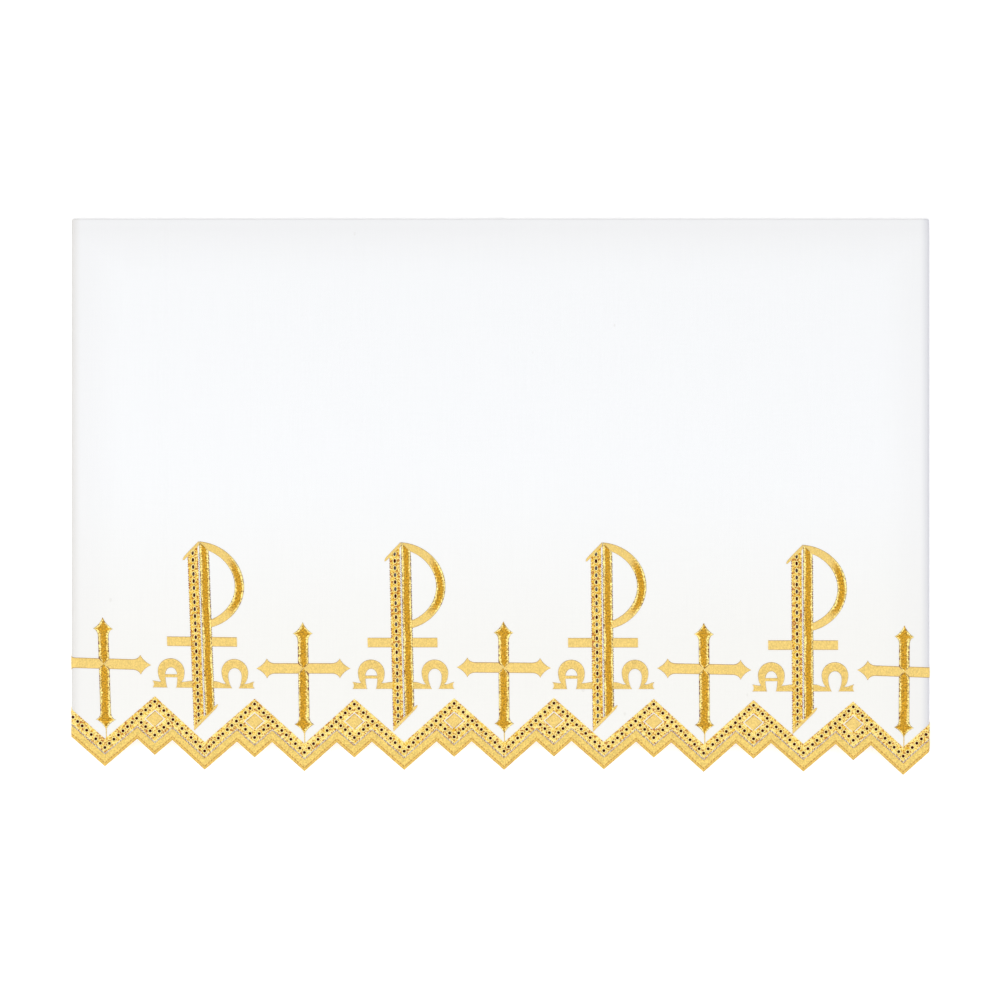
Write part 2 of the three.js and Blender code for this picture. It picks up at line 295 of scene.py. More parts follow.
def hung(k):
    """Where the points of motif k's own drawing lie in the flat cloth."""
    h = HANG[k]
    point = FIRST_POINT + k * PITCH + h.shift
    return lambda x, y: (point + x - h.lean * (y - LEAN_FROM), y + h.tilt * x - h.dip - h.sink)


def border_holes():
    """Middles of the eyelets in the border."""
    for k in range(POINTS):
        point = FIRST_POINT + k * PITCH
        yield point, HOLE_VALLEY - dip_at(point)
        for side in (-1, 1):
            last = HOLE_STEPS if side < 0 and k or side > 0 and k == POINTS - 1 else HOLE_STEPS - 1
            for i in range(1, last + 1):
                u = point + side * i / HOLE_STEPS * PITCH / 2
                yield u, lerp(HOLE_VALLEY, HOLE_APEX, i / HOLE_STEPS) - dip_at(u)
            if not FIRST_POINT - 1 < point + side * PITCH < STRIP_TO:
                continue
            for i in range(1, BRANCH_HOLES + (side > 0)):
                u = point + side * lerp(BRANCH / HOLE_STEPS, 1, i / BRANCH_HOLES) * PITCH / 2
                fall = (HOLE_APEX - HOLE_VALLEY) * (1 - BRANCH / HOLE_STEPS) * i / BRANCH_HOLES
                yield u, lerp(HOLE_VALLEY, HOLE_APEX, BRANCH / HOLE_STEPS) - fall * BRANCH_FALL - dip_at(u)


def stem_holes(k):
    """Middles of the eyelets in the band of monogram k."""
    place = hung(k)
    for i in range(STEM_HOLES):
        yield place((STEM_LEFT + SLOT_LEFT) / 2, STEM_HOLE_LOW + i * STEM_HOLE_PITCH)


# Making meshes in the flat cloth, and laying them on the folded one


def new_bm():
    """An empty mesh whose points carry their place along a stroke, across it, and its tone, which sets its
    painted shade.
    """
    bm = bmesh.new()
    bm.verts.layers.float_vector.new("stitch")
    return bm


def raised_copy(bm, faces):
    """Extrudes the faces and keeps them. Gives the points of their copy."""
    raised = bmesh.ops.extrude_face_region(bm, geom=faces, use_keep_orig=True)
    return [part for part in raised["geom"] if isinstance(part, bmesh.types.BMVert)]


def moved(middle, stretch):
    """Matrix that stretches a shape along its axes and moves it to its place."""
    return Matrix.Translation(middle) @ Matrix.Diagonal((*stretch, 1))


def slabs(bm, columns, rows):
    """A closed slab whose points lie in columns and rows. Gives each one's column, row and side."""
    grid = bmesh.ops.create_grid(bm, x_segments=columns - 1, y_segments=rows - 1, size=1)
    under = grid["verts"]
    above = raised_copy(bm, list({face for vert in under for face in vert.link_faces}))
    spots = {}
    for verts, is_above in ((under, False), (above, True)):
        for vert in verts:
            column = round((vert.co.x + 1) / 2 * (columns - 1))
            row = round((vert.co.y + 1) / 2 * (rows - 1))
            spots[vert] = (column, row, is_above)
    return spots


def stroke(bm, rows, place, heights, length=1.0, roll=0.0, across=ACROSS):
    """A padded stroke. Each row is (share or distance along, half width, tone); the tone sets its painted
    shade.

    Its points lie at place(along, out), and the heights are those of its base, its edge and its crest.
    Length is what one unit along measures in millimetres. Roll is where the middle of its painted shade
    lies.
    """
    base, edge, crest = heights
    stitch = bm.verts.layers.float_vector["stitch"]
    widest = max(half for _, half, _ in rows)
    usual = rows[len(rows) // 2][1]
    spots = slabs(bm, len(rows), len(across))
    for vert, (column, row, is_above) in spots.items():
        along, half, tone = rows[column]
        t = across[row]
        u, v = place(along, t * half)
        share = min(1.0, RISE * half / widest) * (1 - abs(t) ** ROUNDING)
        vert.co = (u, v, lerp(edge, crest, share) if is_above else base)
        reach = (half / usual) ** (2 if half > usual else 0.5)
        side = math.copysign(max(0.0, 1 - (1 - abs(t)) * reach), t)
        vert[stitch] = (along * length * MM, side - roll * (1 - side * side), tone)
    bmesh.ops.remove_doubles(bm, verts=list(spots), dist=WELD)


def even_rows(count, half, tone):
    """Rows of a stroke in even steps from its start to its end."""
    return [(i / count, half, tone) for i in range(count + 1)]


def pierced_plate(bm, outline, paths, holes, radius, tall, low, high):
    """A plate with an outline, slots along the paths, and holes. Tall is a hole's height over its width."""
    edges = []
    for points in (outline, *paths):
        verts = [bm.verts.new((x, y, low)) for x, y in points]
        edges += [bm.edges.new((verts[i - 1], verts[i])) for i in range(len(verts))]
    for u, v in holes:
        spot = moved((u, v, low), (1, tall, 1))
        made = bmesh.ops.create_circle(bm, segments=HOLE_SIDES, radius=radius, matrix=spot)
        edges += list({edge for vert in made["verts"] for edge in vert.link_edges})
    filled = bmesh.ops.triangle_fill(bm, use_beauty=True, edges=edges)
    faces = [part for part in filled["geom"] if isinstance(part, bmesh.types.BMFace)]
    bmesh.ops.translate(bm, verts=raised_copy(bm, faces), vec=(0, 0, high - low))


def bend_lines():
    """Every u at which the arcs of the side folds have an edge."""
    lines = [U_TURN + SIDE_ARC * i / SIDE_STEPS for i in range(SIDE_STEPS + 1)]
    return [-line for line in reversed(lines)] + lines


def lay(bm, surface):
    """Cuts the flat pieces at the fold's lines and folds them. The folded ends' relief is pressed flat."""
    ends = [vert.co.x for vert in bm.verts]
    for u in bend_lines():
        if min(ends) < u < max(ends):
            geom = [*bm.verts, *bm.edges, *bm.faces]
            bmesh.ops.bisect_plane(bm, geom=geom, dist=1e-4, plane_co=(u, 0, 0), plane_no=(1, 0, 0))
    bmesh.ops.recalc_face_normals(bm, faces=bm.faces)
    flat = bm.verts.layers.float_vector.new("flat")
    border = bm.verts.layers.float_vector.new("border")
    for vert in bm.verts:
        u, v, n = vert.co
        vert[flat] = (u * MM, v * MM, n * MM)
        vert[border] = ((v - hem(u)) * MM, (v - peaks(u)) * MM, 0)
        if n > surface:
            share = smooth((abs(u) - U_TURN) / SIDE_ARC)
            n = surface + (n - surface) * lerp(1, FLAT_ON_BACK, share)
        vert.co = fold(u, v, n)


def new_object(name, bm):
    """The mesh as an object in the scene."""
    mesh = bpy.data.meshes.new(name)
    bm.to_mesh(mesh)
    bm.free()
    thing = bpy.data.objects.new(name, mesh)
    bpy.context.collection.objects.link(thing)
    return thing


def add_piece(name, bm, surface, material, sharp=40):
    """The flat piece, folded, as an object that rides on the cloth's body."""
    lay(bm, surface)
    piece = new_object(name, bm)
    piece.data.shade_smooth()
    piece.data.set_sharp_from_angle(angle=math.radians(sharp))
    piece.data.materials.append(material)
    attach(piece, "root")
    return piece


# Node trees


class Signal:
    """An output of a node. Arithmetic with it adds math nodes to the same tree"""

    def __init__(self, tree, socket):
        self.tree = tree
        self.socket = socket

    def __add__(self, other):
        return calc("ADD", self, other)

    def __sub__(self, other):
        return calc("SUBTRACT", self, other)

    def __rsub__(self, other):
        return calc("SUBTRACT", other, self)

    def __mul__(self, other):
        return calc("MULTIPLY", self, other)

    def __truediv__(self, other):
        return calc("DIVIDE", self, other)

    def __rtruediv__(self, other):
        return calc("DIVIDE", other, self)

    def __abs__(self):
        return calc("ABSOLUTE", self)

    def __lt__(self, other):
        return calc("LESS_THAN", self, other)

    def __gt__(self, other):
        return calc("GREATER_THAN", self, other)


class Outputs:
    """The outputs of a node, as signals by number or by name"""

    def __init__(self, tree, node):
        self.tree = tree
        self.node = node

    def __getitem__(self, key):
        return Signal(self.tree, self.node.outputs[key])


def feed(tree, socket, value):
    """Links a signal to an input, or sets the input's value."""
    if isinstance(value, Signal):
        tree.links.new(value.socket, socket)
    elif socket.type == "RGBA":
        socket.default_value = (*value, 1.0)
    else:
        socket.default_value = value


def put(tree, kind, sockets, **settings):
    """Makes a node with its settings and its inputs. Returns its outputs."""
    node = tree.nodes.new(kind)
    for key, value in settings.items():
        setattr(node, key, value)
    for key, value in sockets.items():
        feed(tree, node.inputs[key], value)
    return Outputs(tree, node)


def calc(operation, *values):
    """A math node in the tree of the signals among its values."""
    tree = next(value.tree for value in values if isinstance(value, Signal))
    return put(tree, "ShaderNodeMath", dict(enumerate(values)), operation=operation)[0]


def ramp(value, start, end, low=0.0, high=1.0):
    """Value taken smoothly from start..end to low..high."""
    sockets = {"Value": value, "From Min": start, "From Max": end, "To Min": low, "To Max": high}
    return put(value.tree, "ShaderNodeMapRange", sockets, interpolation_type="SMOOTHSTEP")["Result"]


def crest_at(value, start, crest):
    """Mask that rises smoothly from start to its crest and falls again as far past it."""
    return ramp(abs(value - crest), crest - start, 0.0)


def blend(factor, first, second):
    sockets = {"Factor": factor, 6: first, 7: second}
    return put(factor.tree, "ShaderNodeMix", sockets, data_type="RGBA")[2]


def noise(vector, scale, detail=2.0, roughness=0.5):
    sockets = {"Vector": vector, "Scale": scale, "Detail": detail, "Roughness": roughness}
    return put(vector.tree, "ShaderNodeTexNoise", sockets)["Fac"]


def scaled(vector, *scale):
    return put(vector.tree, "ShaderNodeVectorMath", {0: vector, 1: scale}, operation="MULTIPLY")[0]


def split(vector):
    return put(vector.tree, "ShaderNodeSeparateXYZ", {0: vector})


def attribute(tree, name):
    return put(tree, "ShaderNodeAttribute", {}, attribute_name=name)["Vector"]


def tinted(base, tint, amount):
    """Base made lighter and darker by a tint round nought."""
    sockets = {"Color": base, "Value": tint * amount + 1.0}
    return put(tint.tree, "ShaderNodeHueSaturation", sockets)[0]


TURN = 2 * math.pi


def thread_group(given):
    """Threads that lie side by side across a stroke, each a little different."""
    stitch = given["Stitch"]
    sway = noise(scaled(stitch, 260, 1.2, 1), 1.0)
    turns = split(stitch)["X"] * TURN / given["Pitch"] + sway * 9.0
    mottle = noise(scaled(stitch, 700, 1.7, 1), 1.0, 3.0, 0.65)
    return {"Height": calc("SINE", turns) * 0.5 + 0.5, "Tint": (mottle - 0.5) * given["Unevenness"]}


def speck_group(given):
    """Scattered small spots."""
    sockets = {"Vector": given["Place"], "Scale": 1.0 / given["Pitch"]}
    cells = put(given.tree, "ShaderNodeTexVoronoi", sockets)
    size = given["Size"] * split(cells["Color"])["X"]
    return {"Mask": ramp(cells["Distance"], size, size * 0.6)}


def grit_group(given):
    """Uneven patches as small as a stitch or two, from -1 to 1."""
    return {"Tint": noise(given["Place"], 1.0 / given["Pitch"], 2.0, 0.7) * 5.0 - 2.5}


def weave_group(given):
    """Plain weave, with threads that thicken here and there."""
    flat = given["Flat"]
    u, v, _ = split(scaled(flat, TURN, TURN, TURN))
    crossing = calc("SINE", u / given["Pitch"]) * calc("SINE", v / given["Pitch"])
    upright = noise(scaled(flat, 520, 14, 0), 1.0, 3.0, 0.6)
    level = noise(scaled(flat, 16, 560, 0), 1.0, 3.0, 0.6)
    streak = upright * 0.6 + level * 0.4
    return {"Height": crossing * 0.25 + streak, "Streak": streak - 0.5}


def seam_group(given):
    """A line of running stitches at a distance from an edge, as a mask of its threads."""
    away = abs(given["Across"] - given["Line"])
    step = given["Along"] / given["Pitch"]
    stitches = calc("FRACT", step) < given["Share"]
    return {"Mask": ramp(away, given["Width"], given["Width"] * 0.4) * stitches}


# For each group its function, and its inputs with their usual values. None stands for a vector.
GROUPS = {
    "Thread lines": (thread_group, {"Stitch": None, "Pitch": 0.0005, "Unevenness": 1.0}),
    "Specks": (speck_group, {"Place": None, "Pitch": 0.002, "Size": 0.3}),
    "Grit": (grit_group, {"Place": None, "Pitch": 0.0015}),
    "Plain weave": (weave_group, {"Flat": None, "Pitch": 0.0006}),
    "Running stitches": (
        seam_group,
        {"Across": 0.0, "Along": 0.0, "Line": 0.0, "Width": 0.0004, "Pitch": 0.003, "Share": 0.66},
    ),
}


def make_group(name):
    """Makes a shader node group, whose outputs are what its function gives."""
    tree = bpy.data.node_groups.new(name, "ShaderNodeTree")
    maker, inputs = GROUPS[name]
    for label, usual in inputs.items():
        kind = "NodeSocketVector" if usual is None else "NodeSocketFloat"
        socket = tree.interface.new_socket(label, in_out="INPUT", socket_type=kind)
        if usual is not None:
            socket.default_value = usual
    results = maker(put(tree, "NodeGroupInput", {}))
    for label in results:
        tree.interface.new_socket(label, in_out="OUTPUT", socket_type="NodeSocketFloat")
    put(tree, "NodeGroupOutput", results)
    return tree


def placed(tree, group, **sockets):
    """The outputs of a group's node with its inputs fed. The group is made when it is first needed."""
    shared = bpy.data.node_groups.get(group) or make_group(group)
    named = {key.capitalize(): value for key, value in sockets.items()}
    return put(tree, "ShaderNodeGroup", named, node_tree=shared)


def new_material(name, roughness, specular, sheen=0.0):
    """A material and its tree. The shader's own sockets hold what is the same all over."""
    material = bpy.data.materials.new(name)
    material.use_nodes = True
    shader = material.node_tree.nodes["Principled BSDF"]
    shader.inputs["Roughness"].default_value = roughness
    shader.inputs["Specular IOR Level"].default_value = specular
    shader.inputs["Sheen Weight"].default_value = sheen
    return material, material.node_tree


def dressed(material, base, height=None, strength=0.5, distance=0.0003):
    """The material with its colour, and with a bump of the given height."""
    tree = material.node_tree
    shader = tree.nodes["Principled BSDF"]
    feed(tree, shader.inputs["Base Color"], base)
    if height is not None:
        sockets = {"Height": height, "Strength": strength, "Distance": distance}
        feed(tree, shader.inputs["Normal"], put(tree, "ShaderNodeBump", sockets)[0])
    return material


def linen_material(settings):
    """Bleached linen: weave, streaks, a few slubs, soft wrinkles, seams, the gold of the wrong side, and
    painted shade along its folds.
    """
    material, tree = new_material("Linen", 0.85, 0.2, sheen=0.08)
    flat = attribute(tree, "flat")
    u, v, n = split(flat)
    above_hem, above_peaks, _ = split(attribute(tree, "border"))
    outward = abs(u)
    weave = placed(tree, "Plain weave", flat=flat, pitch=settings.weave_pitch)
    low_down = ramp(v, WARM_FROM * MM, WARM_TO * MM)
    body = blend(low_down, settings.linen, settings.linen_low)
    body = tinted(body, weave["Streak"], 0.05)
    slubs = placed(tree, "Specks", place=scaled(flat, 1, 0.6, 0), pitch=0.05, size=0.055)
    body = blend(slubs["Mask"] * 0.25, body, settings.slub)
    # Painted shade along the top fold, and fainter in a broad band inside the side folds
    top_fold_shade_mask = crest_at(v, (FACE_DROP - TOP_SHADE_REACH) * MM, FACE_DROP * MM)
    wide = crest_at(outward, (U_TURN - WIDE_SHADE_FROM) * MM, (U_TURN - WIDE_SHADE_TO) * MM)
    body = blend(calc("MAXIMUM", top_fold_shade_mask, wide * 0.7) * 0.45, body, settings.painted_fold_shade)
    # Painted shade on the curve of the side folds, warmer on the left and bluer on the right
    side_fold_shade_mask = crest_at(outward, (U_TURN - SIDE_SHADE_REACH) * MM, (U_TURN + SIDE_ARC / 2) * MM)
    body = blend(side_fold_shade_mask * (u < 0.0), body, settings.left_fold_painted_shade)
    body = blend(side_fold_shade_mask * (u > 0.0), body, settings.right_fold_painted_shade)
    from_end = U_END * MM - outward
    end_seam = placed(tree, "Running stitches", across=from_end, along=v, line=SEAM_INSET * MM)
    back_seam = placed(tree, "Running stitches", across=v, along=u, line=(V_END - SEAM_INSET) * MM)
    seams = calc("MAXIMUM", end_seam["Mask"], back_seam["Mask"])
    body = blend(seams * 0.35, body, settings.slub)
    strip = above_hem < EDGE_TOP * MM
    lace = (above_hem > EYELET_BOTTOM * MM) * (above_peaks < 0.0)
    between = (above_hem < EYELET_BOTTOM * MM) - strip
    body = blend(between * 0.35, body, settings.lace)
    wrong_side = (n < 0.0) * calc("MAXIMUM", strip, lace) * (outward < U_TURN * MM)
    gold = tinted(settings.lace, noise(scaled(flat, 900, 900, 0), 1.0), 0.5)
    wrinkle = noise(scaled(flat, 9, 3.2, 0), 1.0, 3.0, 0.45) * 3.2
    crease = ramp(abs(u - settings.crease_at), 0.006, 0.0) * ramp(v, 0.12, 0.25) * 0.5
    height = weave["Height"] * 0.1 + wrinkle + crease + seams * 0.3
    return dressed(material, blend(wrong_side, body, gold), height, 0.6, 0.001)


def gritty(tree, settings):
    """The flat place of a point and the uneven tint there."""
    flat = attribute(tree, "flat")
    return flat, placed(tree, "Grit", place=flat, pitch=settings.grit)["Tint"]


def needles(tree, stitch, share, pitch, size):
    """Mask of the marks that the needle left, each reaching across its share of the stroke."""
    return placed(tree, "Specks", place=scaled(stitch, 1, share, 0), pitch=pitch, size=size)["Mask"]


def satin_material(settings):
    """Gold satin stitch. A padded stroke of tone 1 has painted shade, deep and mottled, in its middle and a
    painted highlight at its edges.
    """
    material, tree = new_material("Gold satin stitch", 0.45, 0.22)
    stitch = attribute(tree, "stitch")
    _, across, tone = split(stitch)
    threads = placed(tree, "Thread lines", stitch=stitch, pitch=settings.thread_pitch)
    _, grit = gritty(tree, settings)
    drift = (noise(scaled(stitch, 26, 0.4, 0), 1.0) - 0.5) * 0.8 + across
    from_middle = grit * 0.17 + abs(drift)
    # The middle of a padded stroke gets painted shade and its edges a painted highlight, standing in for the
    # sheen of its stitches
    middle = ramp(from_middle, 0.74, 0.46) * tone
    shine = ramp(from_middle, 0.5, 0.78) * tone
    base = blend(shine, settings.light_gold, settings.pale_gold_and_highlight)
    base = blend(middle, base, settings.deep_gold_and_shade)
    base = tinted(base, threads["Tint"], 0.65)
    base = tinted(base, grit, calc("MAXIMUM", middle, shine) * 0.46 + 0.14)
    side = abs(across)
    # Needle marks along the edges darkened with painted shade, and painted shade along every stroke's edge
    rim = ramp(side, 0.78, 0.9) * needles(tree, stitch, 0.0035, 0.0026, 1.0) * tone
    outline = ramp(side, 0.86, 1.0) * 0.7
    base = blend(calc("MAXIMUM", rim, outline), base, settings.shade)
    return dressed(material, base, threads["Height"], distance=0.0002)


def edge_material(settings):
    """The satin strip along the hem, with a line of running stitches near its outer edge."""
    material, tree = new_material("Gold edge strip", 0.45, 0.25)
    stitch = attribute(tree, "stitch")
    along, across, _ = split(stitch)
    threads = placed(tree, "Thread lines", stitch=stitch, pitch=settings.thread_pitch, unevenness=0.8)
    _, grit = gritty(tree, settings)
    base = tinted(settings.edge_gold, threads["Tint"], 0.5)
    base = tinted(base, grit, 0.26)
    seam = placed(tree, "Running stitches", across=across, along=along, line=-0.42, width=0.13, pitch=0.0042)
    outer = ramp(grit * 0.12 + across, -0.08, -0.5)
    base = blend(outer * 0.3, base, settings.deep_gold_and_shade)
    # Needle marks along both edges, darkened with painted shade; the running stitches are brown thread
    rim = ramp(abs(across), 0.82, 0.93) * needles(tree, stitch, 0.0068, 0.0028, 0.9)
    base = blend(calc("MAXIMUM", seam["Mask"] * 0.6, rim * 0.7), base, settings.gaps)
    return dressed(material, base, threads["Height"] - seam["Mask"], 0.4, 0.0002)


def in_border(tree):
    """Mask of the border's eyelet strip, whose ground is paler than a monogram's."""
    return split(attribute(tree, "border"))["Y"] < 0.0


def lace_gap_shade(tree, settings, flat):
    """Mask of the gaps between the threads of the ground, where painted shade goes."""
    size = in_border(tree) * -0.12 + 0.9
    return placed(tree, "Specks", place=flat, pitch=settings.gap_pitch, size=size)["Mask"] * 0.85


def lace_material(settings):
    """The embroidered ground round the eyelets: a pale mesh on mustard, with painted shade in the gaps in
    between.
    """
    material, tree = new_material("Gold lace ground", 0.5, 0.2)
    flat, grit = gritty(tree, settings)
    paler = in_border(tree) * 0.3 + grit
    base = blend(ramp(paler, -0.15, 0.35), settings.lace, settings.pale_gold_and_highlight)
    gaps = lace_gap_shade(tree, settings, flat)
    base = blend(gaps, base, settings.gaps)
    return dressed(material, base, grit * 0.3 + (1.0 - gaps))


def ring_material(settings):
    """Pale thread wound round each eyelet, darker on its outer side, with painted shade on its wall inside
    the opening.
    """
    material, tree = new_material("Pale ring thread", 0.4, 0.25)
    stitch = attribute(tree, "stitch")
    outward = split(stitch)["Y"]
    threads = placed(tree, "Thread lines", stitch=stitch, pitch=settings.thread_pitch)
    flat, grit = gritty(tree, settings)
    uneven = in_border(tree) * -0.08 + (grit * 0.35 + outward)
    base = blend(ramp(uneven, 0.35, 0.8), settings.ring_gold, settings.lace)
    # Painted shade in the gaps on its outer side, and on its wall inside the opening
    base = blend(lace_gap_shade(tree, settings, flat) * ramp(uneven, 0.5, 0.8), base, settings.gaps)
    base = blend(ramp(outward, 0.1, 0.0), base, settings.shade)
    return dressed(material, tinted(base, threads["Tint"], 0.6), threads["Height"])


def dark_material(settings):
    """Painted shade in the eyelets: dark discs under their openings. The higher the tone, the more of them
    are slate grey.
    """
    material, tree = new_material("Eyelet shade", 0.9, 0.1)
    _, chance, tone = split(attribute(tree, "stitch"))
    base = blend(ramp(chance, 0.25, 0.75) * tone, settings.eyelet, settings.eyelet_grey)
    return dressed(material, tinted(base, gritty(tree, settings)[1], 0.3))


def fleck_material(settings):
    """Dark brown flecks, some nearly grey: needle marks darkened with painted shade."""
    material, tree = new_material("Needle flecks", 0.8, 0.1)
    grit = placed(tree, "Grit", place=attribute(tree, "flat"), pitch=0.006)["Tint"]
    base = blend(ramp(grit, -0.5, 0.5), settings.shade, settings.eyelet_grey)
    return dressed(material, base)


def floor_material(settings):
    material, tree = new_material("Pale floor", 0.9, 0.0)
    shader = tree.nodes["Principled BSDF"]
    feed(tree, shader.inputs["Emission Color"], settings.floor)
    feed(tree, shader.inputs["Emission Strength"], settings.floor_glow)
    return dressed(material, settings.floor)


# Settings that a user would change


def tint_property(label, description, default):
    return bpy.props.FloatVectorProperty(
        name=label, description=description, subtype="COLOR", size=3, min=0, max=1, default=default
    )


def length_property(label, description, default):
    return bpy.props.FloatProperty(
        name=label, description=description, subtype="DISTANCE", unit="LENGTH", precision=5, default=default
    )


def amount_property(label, description, default, low=0, unit="NONE"):
    return bpy.props.FloatProperty(name=label, description=description, min=low, unit=unit, default=default)


class LinenSettings(bpy.types.PropertyGroup):
    """Sizes and colours of the linen"""

    thickness: length_property("Thickness", "Thickness of one layer of linen", 0.001)
    weave_pitch: length_property("Weave pitch", "Distance between two threads", 0.0006)
    crease_at: length_property("Crease", "Distance of the upright crease from the middle", -0.3929)
    linen: tint_property("Linen", "Colour of the bleached linen", (0.845, 0.855, 0.87))
    linen_low: tint_property("Linen near the border", "Its warmer colour low down", (0.82, 0.815, 0.79))
    # Painted shade along the top fold and in a band inside the side folds
    painted_fold_shade: tint_property("Top fold", "Colour of the linen along its top fold", (0.77, 0.765, 0.77))
    # Painted shade on the left fold
    left_fold_painted_shade: tint_property("Left fold", "Colour of the linen along its left fold", (0.7, 0.685, 0.665))
    # Painted shade on the right fold
    right_fold_painted_shade: tint_property("Right fold", "Colour of the linen along its right fold", (0.62, 0.625, 0.67))
    slub: tint_property("Slubs", "Colour of thick threads and seams", (0.6, 0.58, 0.54))
    lace: tint_property("Wrong side", "Colour of the border seen from behind", (0.62, 0.42, 0.13))


class GoldSettings(bpy.types.PropertyGroup):
    """Sizes and colours of the gold work"""

    thread_pitch: length_property("Thread pitch", "Distance between two stitches", 0.0005)
    grit: length_property("Grit", "Size of the patches that the stitches make", 0.0018)
    gap_pitch: length_property("Gap pitch", "Distance between two gaps in the ground", 0.0020)
    hole_radius: length_property("Eyelet radius", "Radius of an eyelet's opening in the border", 0.0017)
    stem_hole_radius: length_property("Stem eyelet radius", "Half width of a monogram's eyelet", 0.0014)
    ring_width: length_property("Ring width", "Width of the thread round an eyelet", 0.0016)
    light_gold: tint_property("Light gold", "Strokes whose stitches run up and down", (0.84, 0.6, 0.18))
    # Painted highlight on the edges of padded strokes; also the pale mesh at the eyelets
    pale_gold_and_highlight: tint_property("Pale gold", "Edges of padded strokes, mesh at the eyelets", (0.95, 0.78, 0.27))
    ring_gold: tint_property("Ring gold", "Thread round the eyelets", (1.0, 0.87, 0.36))
    # Painted shade in the middle of padded strokes; also darkens the edge strip towards its outer edge
    deep_gold_and_shade: tint_property("Deep gold", "Middle of padded strokes", (0.575, 0.295, 0.012))
    edge_gold: tint_property("Edge gold", "Strip along the hem", (0.815, 0.58, 0.15))
    lace: tint_property("Lace gold", "Ground between the eyelets", (0.76, 0.45, 0.02))
    # Painted shade in the gaps of the ground; also the colour of the edge strip's running stitches and
    # needle marks
    gaps: tint_property("Lace gaps", "Gaps in the ground between the eyelets", (0.36, 0.06, 0.004))
    # Painted shade in gaps between threads, along stroke edges, in needle marks and flecks, and inside the
    # eyelets
    shade: tint_property("Brown", "Gaps between threads", (0.16, 0.03, 0.02))
    # Painted shade inside an eyelet, a dark disc under its opening
    eyelet: tint_property("Eyelet brown", "Bottom of an eyelet", (0.09, 0.004, 0.002))
    # Greyer painted shade in some eyelets, and the colour of the greyer flecks
    eyelet_grey: tint_property("Eyelet grey", "Bottom of the greyer eyelets", (0.2, 0.185, 0.195))


class StageSettings(bpy.types.PropertyGroup):
    """Camera, light and floor"""

    frame_width: length_property("Frame width", "What the picture spans at the cloth's face", 1.1641)
    camera_x: length_property("Camera X", "Where the camera stands", -0.0006)
    camera_y: length_property("Camera Y", "Where the camera stands", -0.0038)
    lens: amount_property("Lens", "Focal length in millimetres", 100.0, low=1)
    floor: tint_property("Floor", "Colour of the floor", (0.93, 0.93, 0.93))
    floor_glow: amount_property("Floor glow", "Light of the floor", 0.2)
    sky: amount_property("Sky", "Strength of the even light", 0.64)
    key: amount_property("Key light", "Power in watts", 60.0, unit="POWER")
    side: amount_property("Side lights", "Power in watts", 20.0, unit="POWER")


class AltarClothSettings(bpy.types.PropertyGroup):
    """All settings of the altar cloth"""

    linen: bpy.props.PointerProperty(type=LinenSettings, name="Linen", description="The linen")
    gold: bpy.props.PointerProperty(type=GoldSettings, name="Gold", description="The gold work")
    stage: bpy.props.PointerProperty(type=StageSettings, name="Stage", description="The stage")


def relief(context):
    """Heights over the middle of the linen: its surface, and the gold work's base, edge and two crests."""
    surface = context.scene.altar_cloth.linen.thickness / MM / 2
    return surface, *(surface + height for height in (BASE, EDGE, CREST, PADDED))


MAKERS = {"Gold satin stitch": satin_material, "Gold lace ground": lace_material}


def shared(name, context):
    """The material of that name, which several operators use. It is made when it is first needed."""
    return bpy.data.materials.get(name) or MAKERS[name](context.scene.altar_cloth.gold)


# The pieces


def linen_columns():
    """Every u where the cloth's edge or form changes."""
    lines = []
    for k in range(POINTS):
        point = FIRST_POINT + k * PITCH
        lines += [point - LARGE_HALF, point, point + LARGE_HALF]
        if k < POINTS - 1:
            lines.append(point + PITCH / 2)
    ends = [-U_END, U_END, FIRST_NOTCH - HEM_RAMP, LAST_NOTCH + HEM_RAMP, STRIP_FROM, STRIP_TO]
    return sorted([*lines, *bend_lines(), *ends])


def strip_columns():
    return [u for u in linen_columns() if STRIP_FROM <= u <= STRIP_TO]


def linen_rows():
    """Every v above the hem where the cloth's form changes."""
    press = [FACE_DROP - PRESS_WIDTH * (1 - i / 6) for i in range(6)]
    turn = [V_TURN + TOP_ARC * i / TOP_STEPS for i in range(TOP_STEPS + 1)]
    back = [2 * V_TURN + TOP_ARC - v for v in reversed(press)]
    hidden = [2 * V_TURN + TOP_ARC - v for v in reversed(FACE_LEVELS)]
    return [BACK_HEM + 8, *FACE_LEVELS, *press, *turn, *back, *hidden, V_END]


def upright(bm, middle, radius, tall, depth):
    """A short cylinder, as round as an eyelet or as much taller than wide."""
    spot = moved(middle, (1, tall, 1))
    return bmesh.ops.create_cone(
        bm, cap_ends=True, segments=HOLE_SIDES, radius1=radius, radius2=radius, depth=depth, matrix=spot
    )


def cut_holes(sheet, cutter):
    """The sheet without the cutter's cylinders, as a new mesh."""
    modifier = sheet.modifiers.new("eyelets", "BOOLEAN")
    modifier.operation = "DIFFERENCE"
    modifier.solver = "MANIFOLD"
    modifier.object = cutter
    shaped = sheet.evaluated_get(bpy.context.evaluated_depsgraph_get())
    bm = new_bm()
    bm.from_mesh(shaped.to_mesh())
    shaped.to_mesh_clear()
    for thing in (sheet, cutter):
        mesh = thing.data
        bpy.data.objects.remove(thing)
        bpy.data.meshes.remove(mesh)
    return bm


